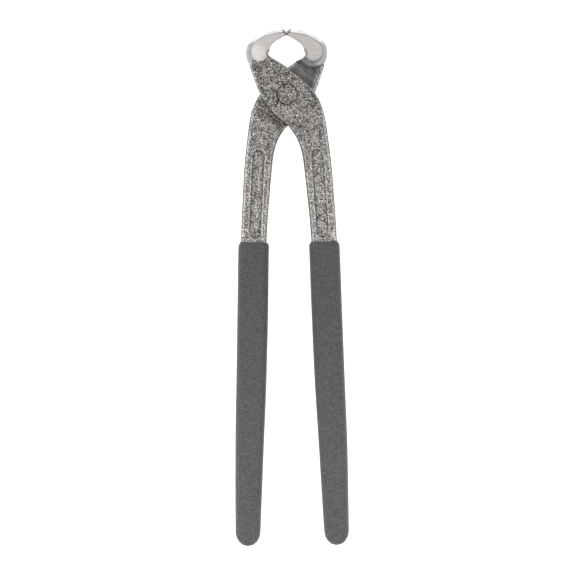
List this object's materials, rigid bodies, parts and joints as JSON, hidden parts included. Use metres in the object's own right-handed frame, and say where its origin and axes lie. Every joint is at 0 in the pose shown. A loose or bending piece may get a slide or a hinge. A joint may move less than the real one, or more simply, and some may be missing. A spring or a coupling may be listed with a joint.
{
  "type": "hoof nipper",
  "caption": "Long-handled end-cutting nipper: crossed forged levers on a rivet, curved jaws meeting in a wide cutting edge, sleeved handles.",
  "frame": {"origin": "middle of the closed tool's bounding box in plan, at the level of the jaws' lower side faces, on which it lies", "axes": "+Y along the tool from the handles to the jaws, +Z along the pivot away from the surface it lies on, +X to the right across the handles"},
  "size_m": [0.066, 0.3, 0.024],
  "materials": {
    "forging": "grey hammered paint on forged steel, with the sides and backs of the jaws ground bright",
    "rivet": "grey hammered paint",
    "sleeve": "dark grey, dipped, with a fine matt texture"
  },
  "bodies": {
    "rear_lever": {"rear_half": "forging", "rear_grip": "sleeve", "pivot_rivet": "rivet"},
    "front_lever": {"front_half": "forging", "front_grip": "sleeve"}
  },
  "joints": [
    {"name": "pivot", "type": "hinge", "parent": "rear_lever", "child": "front_lever", "pos_m": [0, 0.1116, 0.012], "axis": [0, 0, 1], "range_deg": [0, 35]}
  ]
}
